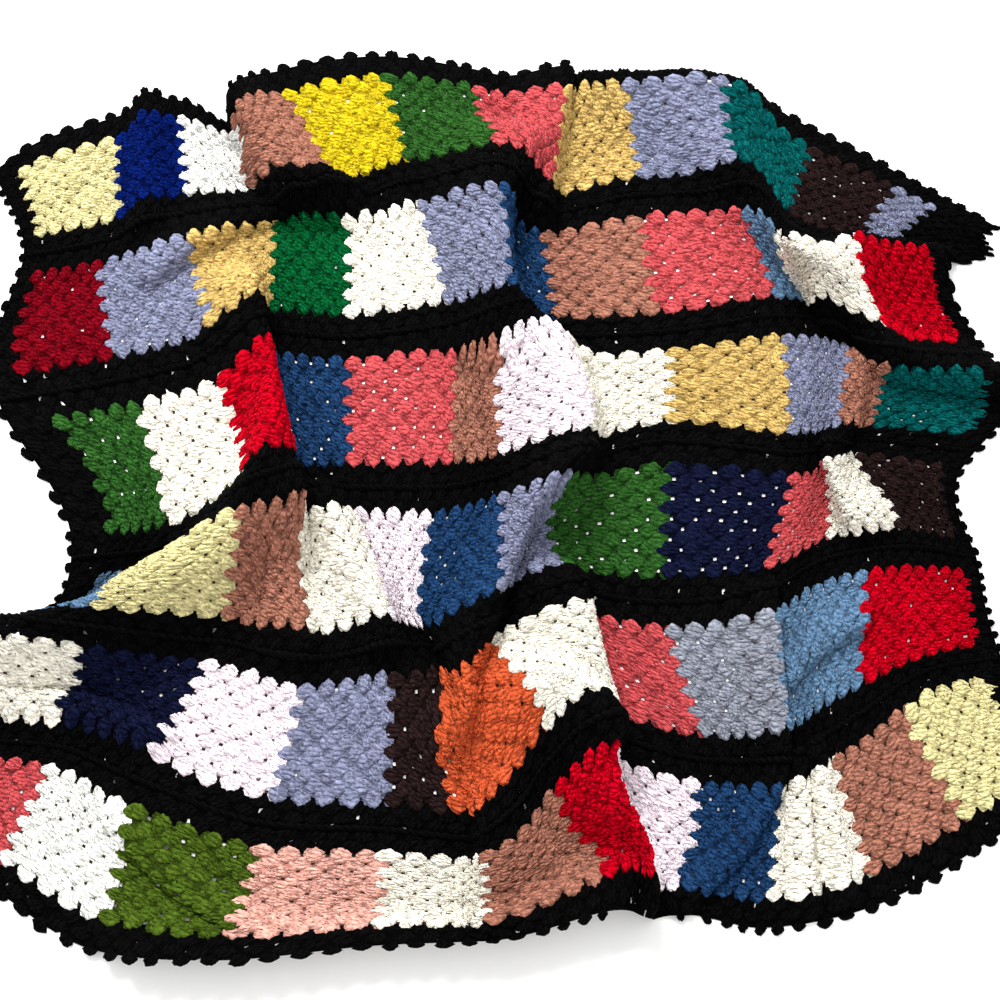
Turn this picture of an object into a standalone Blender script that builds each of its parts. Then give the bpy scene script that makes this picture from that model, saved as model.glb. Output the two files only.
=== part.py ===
"""A crocheted blanket laid loosely on a floor.

Six strips of coloured crochet run from left to right, black bands join them, and a black border goes all
round. The blanket is one cloth, so every piece is cut out of the same flat plan and laid by the same rule:
seams drawn on the floor say where the cloth lies, and folds raise it and lean it over.
"""
import bmesh
import bpy
import numpy as np

# The flat blanket, in metres. Length runs along the strips and width across them.
ROW = 0.0085
ROWS_PER_BLOCK = 10
BLOCKS = 12
CLUSTER = 0.0175
CLUSTERS_PER_ROW = 6
STRIPS = 6
BAND = 0.038
BORDER = 0.030
THICKNESS = 0.003
SEAM_GAP = 0.002

BLOCK = ROWS_PER_BLOCK * ROW
STRIP = CLUSTERS_PER_ROW * CLUSTER
PITCH = STRIP + BAND
LENGTH = BLOCKS * BLOCK
WIDTH = STRIPS * STRIP + (STRIPS - 1) * BAND

# How finely each piece is divided.
CELLS_PER_BLOCK = 6
CELLS_PER_STRIP = 5
CELLS_PER_BAND = 2

# Where the seams lie on the floor, in millimetres right of the middle: a row for each seam from the far
# edge to the near edge, a column for the left edge, each change of block and the right edge.
SEAM_RIGHT = (
    # left    1     2     3     4     5     6    7    8    9   10   11  right
    (-460, -370, -295, -240, -215, -115, -25, 50, 105, 205, 288, 362, 445),
    (-415, -345, -275, -200, -140, -80, -20, 35, 125, 210, 250, 310, 380),
    (-410, -315, -245, -195, -130, -45, -10, 45, 140, 235, 275, 325, 410),
    (-350, -285, -195, -175, -120, -50, 0, 35, 135, 235, 270, 305, 380),
    (-420, -300, -220, -150, -85, -60, -10, 45, 125, 205, 255, 315, 380),
    (-435, -330, -265, -175, -85, -5, 30, 65, 150, 205, 245, 300, 390),
    (-425, -370, -285, -195, -90, 0, 70, 90, 135, 185, 270, 350, 435),
)

# The same seams' places in millimetres beyond the middle, towards the far side.
SEAM_BEYOND = (
    # left   1     2     3     4     5     6     7     8     9    10    11  right
    (310, 385, 395, 365, 425, 445, 430, 410, 410, 405, 360, 310, 250),
    (220, 240, 265, 275, 275, 300, 295, 265, 285, 285, 250, 230, 212),
    (85, 105, 125, 150, 145, 155, 140, 145, 150, 165, 155, 130, 125),
    (-50, -45, -10, 5, 10, 10, 20, 25, 50, 40, 45, 50, 40),
    (-110, -115, -115, -130, -120, -125, -95, -75, -85, -75, -50, -40, -50),
    (-190, -195, -220, -250, -255, -260, -210, -185, -205, -205, -185, -155, -125),
    (-275, -300, -345, -350, -340, -335, -325, -330, -320, -330, -315, -275, -220),
)

# The middle of the laid blanket in the seams' millimetres, right and beyond. It becomes the origin.
MIDDLE = (-7.5, 47.4)

# Folds. The crest passes through places given as (blocks from the left, strips from the far side). The
# steep side faces left, right, far or near. The other columns are millimetres: how wide the gentle and
# the steep side are, how high the crest stands and how far it leans over the steep side.
FOLDS = (
    # name, faces, crest, gentle, steep, height, lean
    ("blue_ridge", "right", ((1.55, -0.1), (1.5, 0.95)), 40, 35, 16, 2),
    ("rose_bulge", "left", ((3.25, -0.1), (3.3, 0.5), (3.5, 0.9)), 75, 45, 38, 8),
    ("first_peak", "far", ((3.95, 0.95), (4.15, 0.98)), 32, 28, 18, 4),
    ("band_roll", "near", ((1.6, 1.3), (2.2, 1.17), (3.1, 1.04)), 45, 24, 14, 8),
    ("red_ridge", "right", ((2.5, 1.75), (2.65, 2.4), (2.85, 3.1)), 70, 45, 42, 22),
    ("rose_ridge", "right", ((2.75, 3.1), (2.9, 3.9)), 50, 30, 16, 6),
    ("cream_ridge", "right", ((3.6, 3.1), (3.9, 3.95)), 35, 35, 18, 4),
    ("coral_ridge", "right", ((7.0, -0.1), (6.85, 0.95)), 60, 35, 30, 12),
    ("long_fold", "right", ((6.3, 0.8), (6.0, 1.4), (6.2, 1.95), (6.8, 2.3), (6.95, 3.0)), 90, 50, 46, 20),
    ("lavender_fold", "right", ((6.75, 3.15), (6.3, 3.5), (5.85, 3.95), (5.3, 4.3)), 60, 35, 26, 10),
    ("left_crest", "far", ((-0.2, 4.4), (0.9, 3.85), (2.1, 3.05)), 90, 65, 50, 4),
    ("navy_roll", "far", ((-0.2, 4.7), (1.0, 4.7), (1.9, 4.75)), 35, 25, 14, 8),
    ("cream_edge", "right", ((6.95, 4.0), (7.0, 4.95)), 60, 35, 32, 18),
    ("red_fold", "right", ((6.45, 4.7), (6.75, 5.1), (6.96, 5.75)), 100, 42, 48, 16),
    ("rose_edge", "left", ((5.1, 4.95), (5.02, 5.7)), 60, 30, 24, 10),
    ("front_lift", "near", ((2.6, 6.05), (4.3, 6.1), (6.0, 6.05)), 90, 22, 32, 0),
    ("olive_crease", "near", ((1.9, 5.25), (3.0, 5.65)), 30, 14, 9, 3),
    ("denim_crease", "right", ((8.95, 5.1), (8.1, 5.85)), 30, 16, 10, 4),
    ("first_pleat", "right", ((9.35, 5.05), (9.4, 5.85)), 18, 14, 10, 3),
    ("second_pleat", "right", ((9.75, 5.05), (9.75, 5.85)), 18, 14, 9, 3),
    ("blue_crease", "near", ((9.3, 4.55), (10.5, 4.45)), 30, 14, 10, 4),
    ("grey_ridge", "right", ((8.95, 4.05), (8.97, 4.9)), 35, 22, 16, 6),
    ("right_pleat", "near", ((9.0, 0.85), (9.6, 1.15), (10.2, 1.45), (10.5, 1.57)), 95, 60, 29, 2),
    ("cream_flap", "left", ((10.05, 3.05), (10.5, 3.7)), 50, 30, 26, 14),
    ("teal_roll", "near", ((10.9, 2.05), (12.1, 2.25)), 60, 40, 26, 10),
    ("shoulder", "far", ((7.5, 0.15), (9.1, 0.18)), 70, 30, 22, 8),
    ("right_ridge", "right", ((10.35, 2.35), (10.4, 2.8)), 45, 35, 14, 2),
    ("cream_lap", "left", ((10.15, 1.2), (10.1, 1.85)), 60, 40, 27, 12),
    ("red_lap", "far", ((10.9, 1.14), (11.9, 1.12)), 60, 32, 24, 12),
)

# Places where the cloth was pushed along the floor, given as (blocks from the left, strips from the far
# side). The other columns are millimetres: the reach along and across, and the push right and beyond.
PUSHES = (
    # name, place, along, across, right, beyond
    ("yellow_corner", (1.0, 0.15), 75, 90, 22, -8),
    ("rose_foot", (3.0, 0.75), 65, 55, -18, 0),
    ("dark_red_foot", (0.0, 1.65), 130, 120, -18, 0),
    ("lap_corner", (9.9, 1.22), 90, 80, -2, -20),
    ("green_foot", (0.6, 2.7), 110, 100, 22, 4),
    ("pink_foot", (7.0, 2.75), 75, 80, 16, 0),
    ("lavender_reach", (9.9, 2.2), 90, 75, 10, 0),
    ("teal_end", (12.2, 2.6), 170, 100, 32, 0),
    ("brown_corner", (11.0, 3.2), 75, 75, -18, 3),
    ("left_notch", (0.0, 3.5), 120, 90, 20, -8),
    ("rust_corner", (4.75, 4.15), 70, 60, 22, 8),
    ("red_foot", (6.3, 5.72), 115, 64, 14, 14),
    ("yellow_foot", (1.0, 0.75), 75, 80, 16, 0),
    ("denim_foot", (8.05, 5.8), 60, 50, -12, 0),
    ("far_tail", (12.0, 0.7), 70, 75, 36, -6),
    ("brown_end", (12.3, 3.5), 130, 80, -12, 0),
    ("yellow_reach", (1.0, 3.3), 75, 60, -14, 0),
    ("last_yellow", (11.3, 5.1), 80, 55, 0, 9),
    ("emerald_rise", (3.7, 1.25), 70, 65, 0, 8),
)
FADE = 0.75

# Flat places of the block changes and of the seams.
BLOCK_ENDS = np.array([-BORDER] + [BLOCK * k for k in range(1, BLOCKS)] + [LENGTH + BORDER])
SEAMS = np.array([-BORDER] + [PITCH * k - BAND / 2 for k in range(1, STRIPS)] + [WIDTH + BORDER])

# Material of the strips and of the black pieces: colour, roughness.
COLOURED_YARN = ("coloured_yarn", (0.55, 0.32, 0.30), 0.95)
BLACK_YARN = ("black_yarn", (0.012, 0.011, 0.013), 0.95)


def smooth_line(knots, values, places):
    """Read a smooth line at some places: it passes through a value at each knot and never overshoots."""
    knots = np.asarray(knots, float)
    values = np.asarray(values, float).reshape(len(knots), -1)
    gaps = np.diff(knots)[:, None]
    rises = np.diff(values, axis=0) / gaps
    slopes = np.concatenate([rises[:1], rises[-1:]])
    if len(knots) > 2:
        middle = (gaps[1:] * rises[:-1] + gaps[:-1] * rises[1:]) / (gaps[1:] + gaps[:-1])
        limit = 3 * np.minimum(abs(rises[:-1]), abs(rises[1:]))
        same_way = rises[:-1] * rises[1:] > 0
        middle = np.where(same_way, np.clip(middle, -limit, limit), middle / 2)
        slopes = np.concatenate([rises[:1], middle, rises[-1:]])
    span = np.clip(np.searchsorted(knots, places, side="right") - 1, 0, len(knots) - 2)
    line = np.arange(len(places)) if values.shape[1] > 1 else 0
    width = np.diff(knots)[span]
    t = (places - knots[span]) / width
    start = values[span, line]
    end = values[span + 1, line]
    start_slope = slopes[span, line] * width
    end_slope = slopes[span + 1, line] * width
    inside = start * (2 * t**3 - 3 * t**2 + 1) + end * (3 * t**2 - 2 * t**3)
    inside += start_slope * (t**3 - 2 * t**2 + t) + end_slope * (t**3 - t**2)
    before = start + start_slope * t
    after = end + end_slope * (t - 1)
    return np.where(t < 0, before, np.where(t > 1, after, inside))


def flat_places(counts, stations):
    """Turn counts of blocks or strips into flat places, going on evenly past the first and last."""
    counts = np.asarray(counts, float)
    last = len(stations) - 1
    places = np.interp(counts, np.arange(last + 1), stations)
    places += np.minimum(counts, 0) * (stations[1] - stations[0])
    return places + np.maximum(counts - last, 0) * (stations[-1] - stations[-2])


def fold_profile(fold, u, v):
    """How much of a fold's height each place has, from 0 to 1, and which way its steep side faces."""
    name, faces, crest, gentle, steep, height, lean = fold
    sign = -1 if faces in ("left", "far") else 1
    crest_u = flat_places([place[0] for place in crest], BLOCK_ENDS)
    crest_v = flat_places([place[1] for place in crest], SEAMS)
    sideways = faces in ("left", "right")
    knots, crest_line = (crest_v, crest_u) if sideways else (crest_u, crest_v)
    along, across = (v, u) if sideways else (u, v)
    order = np.argsort(knots)
    knots = knots[order]
    crest_line = crest_line[order]
    step = 0.002
    crest_here = smooth_line(knots, crest_line, along)
    slant = smooth_line(knots, crest_line, along + step) - smooth_line(knots, crest_line, along - step)
    slant = slant / (2 * step)
    size = np.sqrt(1 + slant**2)
    past_crest = sign * (across - crest_here) / size * 1000
    past_end = np.maximum(knots[0] - along, along - knots[-1]) * 1000
    end_share = np.clip(past_end / (FADE * max(gentle, steep)), 0, 1)
    side_share = np.clip(np.where(past_crest < 0, -past_crest / gentle, past_crest / steep), 0, 1)
    profile = (1 + np.cos(np.pi * end_share)) * (1 + np.cos(np.pi * side_share)) / 4
    across_part = sign / size
    along_part = -sign * slant / size
    facing = (across_part, along_part) if sideways else (along_part, across_part)
    return profile, facing


def lay(u, v):
    """Lay flat places u along and v across the blanket, and return their x, y and z.

    The seams' smooth lines give x and y. Each push adds its shift times two half cosine waves, and each fold
    its height and its lean times its profile.
    """
    right = np.stack([smooth_line(BLOCK_ENDS, row, u) for row in SEAM_RIGHT])
    beyond = np.stack([smooth_line(BLOCK_ENDS, row, u) for row in SEAM_BEYOND])
    x = smooth_line(SEAMS, right, v)
    y = smooth_line(SEAMS, beyond, v)
    z = np.zeros_like(x)
    for name, place, along, across, push_right, push_beyond in PUSHES:
        past_u = abs(u - flat_places([place[0]], BLOCK_ENDS)) * 1000 / along
        past_v = abs(v - flat_places([place[1]], SEAMS)) * 1000 / across
        share = (1 + np.cos(np.pi * np.minimum(past_u, 1))) * (1 + np.cos(np.pi * np.minimum(past_v, 1))) / 4
        x += push_right * share
        y += push_beyond * share
    for fold in FOLDS:
        profile, (facing_u, facing_v) = fold_profile(fold, u, v)
        height, lean = fold[-2:]
        x += lean * profile * facing_u
        y -= lean * profile * facing_v
        z += height * profile
    return np.stack([x - MIDDLE[0], y - MIDDLE[1], z], axis=1) / 1000


def grid_normals(places):
    """The direction out of the upper face at each crossing of a grid: the mean over the cells round it."""
    first = places[1:, 1:] - places[:-1, :-1]
    second = places[:-1, 1:] - places[1:, :-1]
    of_cells = np.cross(first, second)
    totals = np.zeros_like(places)
    for rows in (slice(None, -1), slice(1, None)):
        for columns in (slice(None, -1), slice(1, None)):
            totals[rows, columns] += of_cells
    return totals / np.linalg.norm(totals, axis=2, keepdims=True)


def even_steps(start, end, cells):
    """Places that divide a stretch into equal cells, both ends included."""
    return list(np.linspace(start, end, cells + 1))


def make_material(name, colour, roughness):
    """A plain material with a colour and a roughness."""
    material = bpy.data.materials.new(name)
    material.use_nodes = True
    material.diffuse_color = (*colour, 1)
    shader = material.node_tree.nodes["Principled BSDF"]
    shader.inputs["Base Color"].default_value = (*colour, 1)
    shader.inputs["Roughness"].default_value = roughness
    shader.inputs["Metallic"].default_value = 0
    return material


def lay_grid(u_lines, v_lines):
    """Lay the crossings of lines along and across the flat plan, as a grid of places."""
    u, v = np.meshgrid(u_lines, v_lines)
    return lay(u.ravel(), v.ravel()).reshape(*u.shape, 3)


def cell_triangles(places, j, i):
    """The two triangles of a grid's cell, cut along its shorter diagonal, as numbers of its corners."""
    columns = places.shape[1]
    far_left = j * columns + i
    near_left = far_left + columns
    falling = np.linalg.norm(places[j, i] - places[j + 1, i + 1])
    rising = np.linalg.norm(places[j + 1, i] - places[j, i + 1])
    if falling <= rising:
        return (far_left, near_left, near_left + 1), (far_left, near_left + 1, far_left + 1)
    return (far_left, near_left, far_left + 1), (near_left, near_left + 1, far_left + 1)


def make_cloth(name, lower, normals, material, collection):
    """A piece of cloth whose lower face is a laid grid, with its upper face one thickness above."""
    rows, columns = lower.shape[:2]
    upper = lower + THICKNESS * normals
    cells = bmesh.new()
    lower_verts = [cells.verts.new(place) for place in lower.reshape(-1, 3)]
    upper_verts = [cells.verts.new(place) for place in upper.reshape(-1, 3)]
    for j in range(rows - 1):
        for i in range(columns - 1):
            for corners in cell_triangles(lower, j, i):
                cells.faces.new([upper_verts[n] for n in corners])
                cells.faces.new([lower_verts[n] for n in reversed(corners)])
    close_edges(cells, lower_verts, upper_verts)
    mesh = bpy.data.meshes.new(name)
    cells.to_mesh(mesh)
    cells.free()
    mesh.materials.append(material)
    piece = bpy.data.objects.new(name, mesh)
    collection.objects.link(piece)


def close_edges(cells, lower_verts, upper_verts):
    """Join the upper and lower faces along every open edge.

    Each stretch of edge is cut from its first lower corner, so edges that face each other stay parallel.
    """
    number = {vert: n for n, vert in enumerate(upper_verts)}
    open_edges = [edge for edge in cells.edges if edge.is_boundary and edge.verts[0] in number]
    for edge in open_edges:
        first, second = sorted(edge.verts, key=number.get)
        first_lower = lower_verts[number[first]]
        cells.faces.new((first, second, first_lower))
        cells.faces.new((second, lower_verts[number[second]], first_lower))
    bmesh.ops.recalc_face_normals(cells, faces=cells.faces)


def clear_scene():
    """Remove what is in the scene."""
    for thing in list(bpy.data.objects):
        bpy.data.objects.remove(thing, do_unlink=True)


def cut_lines(lines, first, last):
    """The lines from first to last, moved in by half a gap where another piece follows."""
    cut = lines[first:last + 1]
    if first > 0:
        cut[0] += SEAM_GAP / 2
    if last < len(lines) - 1:
        cut[-1] -= SEAM_GAP / 2
    return cut


def blanket_plan():
    """The lines that divide the flat blanket, and each piece's name, columns, rows and material."""
    long_lines = [-BORDER] + even_steps(0, LENGTH, BLOCKS * CELLS_PER_BLOCK) + [LENGTH + BORDER]
    right = len(long_lines) - 1
    cross_lines = [-BORDER, 0]
    pieces = []
    for k in range(STRIPS):
        far = len(cross_lines) - 1
        cross_lines += even_steps(k * PITCH, k * PITCH + STRIP, CELLS_PER_STRIP)[1:]
        pieces.append((f"strip_{k + 1}", (1, right - 1), (far, far + CELLS_PER_STRIP), COLOURED_YARN))
        if k < STRIPS - 1:
            far = len(cross_lines) - 1
            cross_lines += even_steps(k * PITCH + STRIP, (k + 1) * PITCH, CELLS_PER_BAND)[1:]
            pieces.append((f"band_{k + 1}", (1, right - 1), (far, far + CELLS_PER_BAND), BLACK_YARN))
    cross_lines.append(WIDTH + BORDER)
    near = len(cross_lines) - 1
    pieces.append(("border_far", (0, right), (0, 1), BLACK_YARN))
    pieces.append(("border_near", (0, right), (near - 1, near), BLACK_YARN))
    pieces.append(("border_left", (0, 1), (1, near - 1), BLACK_YARN))
    pieces.append(("border_right", (right - 1, right), (1, near - 1), BLACK_YARN))
    return long_lines, cross_lines, pieces


def build_blanket():
    """Make the strips, the bands between them and the border's four sides.

    All pieces share the lines and the normals of one grid over the whole blanket, so they meet evenly.
    """
    clear_scene()
    collection = bpy.data.collections.new("blanket")
    bpy.context.scene.collection.children.link(collection)
    materials = {yarn: make_material(*yarn) for yarn in (COLOURED_YARN, BLACK_YARN)}
    long_lines, cross_lines, pieces = blanket_plan()
    normals = grid_normals(lay_grid(long_lines, cross_lines))
    for name, (left, right), (far, near), yarn in pieces:
        lower = lay_grid(cut_lines(long_lines, left, right), cut_lines(cross_lines, far, near))
        piece_normals = normals[far:near + 1, left:right + 1]
        make_cloth(name, lower, piece_normals, materials[yarn], collection)


build_blanket()
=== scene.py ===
import math

import bpy
import numpy as np
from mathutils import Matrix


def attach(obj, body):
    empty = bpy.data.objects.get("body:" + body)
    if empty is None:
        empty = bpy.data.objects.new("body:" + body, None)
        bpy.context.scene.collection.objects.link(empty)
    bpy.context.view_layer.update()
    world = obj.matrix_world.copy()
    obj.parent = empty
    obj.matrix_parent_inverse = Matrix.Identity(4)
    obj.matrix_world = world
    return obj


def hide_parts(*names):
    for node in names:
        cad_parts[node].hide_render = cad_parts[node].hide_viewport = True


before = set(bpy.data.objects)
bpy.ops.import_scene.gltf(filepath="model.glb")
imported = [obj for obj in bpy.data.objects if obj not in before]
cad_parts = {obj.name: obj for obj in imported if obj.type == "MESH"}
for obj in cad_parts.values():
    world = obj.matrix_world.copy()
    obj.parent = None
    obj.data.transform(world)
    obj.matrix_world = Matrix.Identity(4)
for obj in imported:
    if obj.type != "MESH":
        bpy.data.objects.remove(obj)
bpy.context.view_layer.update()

# ---------------------------------------------------------------- the flat blanket, as in the solids
ROW = 0.0085
ROWS_PER_BLOCK = 10
BLOCKS = 12
CLUSTER = 0.0175
CLUSTERS_PER_ROW = 6
STRIPS = 6
BAND = 0.038
BORDER = 0.030

BLOCK = ROWS_PER_BLOCK * ROW
STRIP = CLUSTERS_PER_ROW * CLUSTER
PITCH = STRIP + BAND
LENGTH = BLOCKS * BLOCK
WIDTH = STRIPS * STRIP + (STRIPS - 1) * BAND
ROWS = ROWS_PER_BLOCK * BLOCKS

# Where the seams lie on the floor, in millimetres right of the middle: a row for each seam from the far
# edge to the near edge, a column for the left edge, each change of block and the right edge.
SEAM_RIGHT = (
    # left    1     2     3     4     5     6    7    8    9   10   11  right
    (-460, -370, -295, -240, -215, -115, -25, 50, 105, 205, 288, 362, 445),
    (-415, -345, -275, -200, -140, -80, -20, 35, 125, 210, 250, 310, 380),
    (-410, -315, -245, -195, -130, -45, -10, 45, 140, 235, 275, 325, 410),
    (-350, -285, -195, -175, -120, -50, 0, 35, 135, 235, 270, 305, 380),
    (-420, -300, -220, -150, -85, -60, -10, 45, 125, 205, 255, 315, 380),
    (-435, -330, -265, -175, -85, -5, 30, 65, 150, 205, 245, 300, 390),
    (-425, -370, -285, -195, -90, 0, 70, 90, 135, 185, 270, 350, 435),
)

# The same seams' places in millimetres beyond the middle, towards the far side.
SEAM_BEYOND = (
    # left   1     2     3     4     5     6     7     8     9    10    11  right
    (310, 385, 395, 365, 425, 445, 430, 410, 410, 405, 360, 310, 250),
    (220, 240, 265, 275, 275, 300, 295, 265, 285, 285, 250, 230, 212),
    (85, 105, 125, 150, 145, 155, 140, 145, 150, 165, 155, 130, 125),
    (-50, -45, -10, 5, 10, 10, 20, 25, 50, 40, 45, 50, 40),
    (-110, -115, -115, -130, -120, -125, -95, -75, -85, -75, -50, -40, -50),
    (-190, -195, -220, -250, -255, -260, -210, -185, -205, -205, -185, -155, -125),
    (-275, -300, -345, -350, -340, -335, -325, -330, -320, -330, -315, -275, -220),
)

# The middle of the laid blanket in the seams' millimetres, right and beyond. It is the origin.
MIDDLE = (-7.5, 47.4)

# Folds. The crest passes through places given as (blocks from the left, strips from the far side). The
# steep side faces left, right, far or near. The other columns are millimetres: how wide the gentle and
# the steep side are, how high the crest stands and how far it leans over the steep side.
FOLDS = (
    # name, faces, crest, gentle, steep, height, lean
    ("blue_ridge", "right", ((1.55, -0.1), (1.5, 0.95)), 40, 35, 16, 2),
    ("rose_bulge", "left", ((3.25, -0.1), (3.3, 0.5), (3.5, 0.9)), 75, 45, 38, 8),
    ("first_peak", "far", ((3.95, 0.95), (4.15, 0.98)), 32, 28, 18, 4),
    ("band_roll", "near", ((1.6, 1.3), (2.2, 1.17), (3.1, 1.04)), 45, 24, 14, 8),
    ("red_ridge", "right", ((2.5, 1.75), (2.65, 2.4), (2.85, 3.1)), 70, 45, 42, 22),
    ("rose_ridge", "right", ((2.75, 3.1), (2.9, 3.9)), 50, 30, 16, 6),
    ("cream_ridge", "right", ((3.6, 3.1), (3.9, 3.95)), 35, 35, 18, 4),
    ("coral_ridge", "right", ((7.0, -0.1), (6.85, 0.95)), 60, 35, 30, 12),
    ("long_fold", "right", ((6.3, 0.8), (6.0, 1.4), (6.2, 1.95), (6.8, 2.3), (6.95, 3.0)), 90, 50, 46, 20),
    ("lavender_fold", "right", ((6.75, 3.15), (6.3, 3.5), (5.85, 3.95), (5.3, 4.3)), 60, 35, 26, 10),
    ("left_crest", "far", ((-0.2, 4.4), (0.9, 3.85), (2.1, 3.05)), 90, 65, 50, 4),
    ("navy_roll", "far", ((-0.2, 4.7), (1.0, 4.7), (1.9, 4.75)), 35, 25, 14, 8),
    ("cream_edge", "right", ((6.95, 4.0), (7.0, 4.95)), 60, 35, 32, 18),
    ("red_fold", "right", ((6.45, 4.7), (6.75, 5.1), (6.96, 5.75)), 100, 42, 48, 16),
    ("rose_edge", "left", ((5.1, 4.95), (5.02, 5.7)), 60, 30, 24, 10),
    ("front_lift", "near", ((2.6, 6.05), (4.3, 6.1), (6.0, 6.05)), 90, 22, 32, 0),
    ("olive_crease", "near", ((1.9, 5.25), (3.0, 5.65)), 30, 14, 9, 3),
    ("denim_crease", "right", ((8.95, 5.1), (8.1, 5.85)), 30, 16, 10, 4),
    ("first_pleat", "right", ((9.35, 5.05), (9.4, 5.85)), 18, 14, 10, 3),
    ("second_pleat", "right", ((9.75, 5.05), (9.75, 5.85)), 18, 14, 9, 3),
    ("blue_crease", "near", ((9.3, 4.55), (10.5, 4.45)), 30, 14, 10, 4),
    ("grey_ridge", "right", ((8.95, 4.05), (8.97, 4.9)), 35, 22, 16, 6),
    ("right_pleat", "near", ((9.0, 0.85), (9.6, 1.15), (10.2, 1.45), (10.5, 1.57)), 95, 60, 29, 2),
    ("cream_flap", "left", ((10.05, 3.05), (10.5, 3.7)), 50, 30, 26, 14),
    ("teal_roll", "near", ((10.9, 2.05), (12.1, 2.25)), 60, 40, 26, 10),
    ("shoulder", "far", ((7.5, 0.15), (9.1, 0.18)), 70, 30, 22, 8),
    ("right_ridge", "right", ((10.35, 2.35), (10.4, 2.8)), 45, 35, 14, 2),
    ("cream_lap", "left", ((10.15, 1.2), (10.1, 1.85)), 60, 40, 27, 12),
    ("red_lap", "far", ((10.9, 1.14), (11.9, 1.12)), 60, 32, 24, 12),
)

# Places where the cloth was pushed along the floor, given as (blocks from the left, strips from the far
# side). The other columns are millimetres: the reach along and across, and the push right and beyond.
PUSHES = (
    # name, place, along, across, right, beyond
    ("yellow_corner", (1.0, 0.15), 75, 90, 22, -8),
    ("rose_foot", (3.0, 0.75), 65, 55, -18, 0),
    ("dark_red_foot", (0.0, 1.65), 130, 120, -18, 0),
    ("lap_corner", (9.9, 1.22), 90, 80, -2, -20),
    ("green_foot", (0.6, 2.7), 110, 100, 22, 4),
    ("pink_foot", (7.0, 2.75), 75, 80, 16, 0),
    ("lavender_reach", (9.9, 2.2), 90, 75, 10, 0),
    ("teal_end", (12.2, 2.6), 170, 100, 32, 0),
    ("brown_corner", (11.0, 3.2), 75, 75, -18, 3),
    ("left_notch", (0.0, 3.5), 120, 90, 20, -8),
    ("rust_corner", (4.75, 4.15), 70, 60, 22, 8),
    ("red_foot", (6.3, 5.72), 115, 64, 14, 14),
    ("yellow_foot", (1.0, 0.75), 75, 80, 16, 0),
    ("denim_foot", (8.05, 5.8), 60, 50, -12, 0),
    ("far_tail", (12.0, 0.7), 70, 75, 36, -6),
    ("brown_end", (12.3, 3.5), 130, 80, -12, 0),
    ("yellow_reach", (1.0, 3.3), 75, 60, -14, 0),
    ("last_yellow", (11.3, 5.1), 80, 55, 0, 9),
    ("emerald_rise", (3.7, 1.25), 70, 65, 0, 8),
)
# How far a fold fades out past each end of its crest, as a share of its wider side.
FADE = 0.75
# Half the length over which a crest's slant is measured.
SLANT_STEP = 0.002

BLOCK_ENDS = np.array([-BORDER] + [BLOCK * k for k in range(1, BLOCKS)] + [LENGTH + BORDER])
SEAMS = np.array([-BORDER] + [PITCH * k - BAND / 2 for k in range(1, STRIPS)] + [WIDTH + BORDER])

# ---------------------------------------------------------------- the yarns and where each is used
# Dyed yarns: name, and the colour's red, green and blue in round numbers from 0 to 255. The last entry is
# no yarn but painted shade: a dark colour put on gap cells of pale yarns where a real hole shows shade.
YARNS = (
    ("black", (10, 9, 10)),
    ("pale_yellow", (230, 220, 160)),
    ("royal_blue", (5, 30, 110)),
    ("white", (255, 255, 250)),
    ("rose_brown", (180, 120, 100)),
    ("bright_yellow", (220, 195, 25)),
    ("green", (50, 100, 40)),
    ("coral", (215, 85, 90)),
    ("gold", (220, 185, 110)),
    ("lavender", (140, 145, 175)),
    ("teal", (5, 100, 100)),
    ("dark_brown", (45, 30, 30)),
    ("dark_red", (135, 5, 25)),
    ("emerald", (5, 100, 50)),
    ("cream", (255, 250, 235)),
    ("denim", (35, 70, 115)),
    ("light_blue", (100, 135, 170)),
    ("red", (210, 0, 30)),
    ("pale_pink", (255, 240, 250)),
    ("navy", (20, 25, 55)),
    ("rust", (220, 95, 55)),
    ("grey", (150, 155, 170)),
    ("olive", (80, 105, 30)),
    ("peach", (240, 180, 165)),
    # Not a yarn: painted shade for the gap cells of pale yarns.
    ("painted_gap_shade", (90, 75, 60)),
)
# The yarns whose chosen gap cells are kept and coloured with painted shade instead of left open. In the
# gaps of the others the floor shows.
PAINTED_SHADE_GAPS = ("pale_yellow", "white", "cream", "pale_pink", "rose_brown", "gold", "peach")

# The blocks of each strip from left to right, the far strip first. Black rows at an end are edging.
STRIP_YARNS = (
    "pale_yellow royal_blue white rose_brown bright_yellow green coral gold lavender teal dark_brown"
    " lavender black",
    "dark_red lavender gold emerald cream lavender denim rose_brown coral light_blue cream red",
    "black green cream red denim coral rose_brown pale_pink cream gold lavender rose_brown teal",
    "black light_blue pale_yellow rose_brown cream pale_pink denim lavender green navy coral cream"
    " dark_brown",
    "cream navy pale_pink lavender dark_brown rust cream coral grey light_blue red",
    "coral white olive peach cream rose_brown red pale_pink denim cream rose_brown pale_yellow",
)
# How open each of those blocks is, in tenths of its gaps between clusters, and how open the bands are.
STRIP_GAPS = (
    (6, 1, 7, 5, 2, 2, 3, 6, 2, 1, 4, 1, 0),
    (2, 3, 5, 2, 7, 3, 4, 8, 5, 2, 8, 1),
    (0, 3, 9, 1, 3, 5, 6, 8, 8, 7, 4, 3, 1),
    (0, 1, 7, 5, 6, 7, 3, 4, 5, 8, 4, 6, 4),
    (6, 3, 7, 2, 3, 2, 8, 4, 4, 4, 1),
    (2, 8, 4, 6, 8, 7, 1, 8, 6, 8, 7, 7),
)
BAND_GAPS = 0.9
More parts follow.
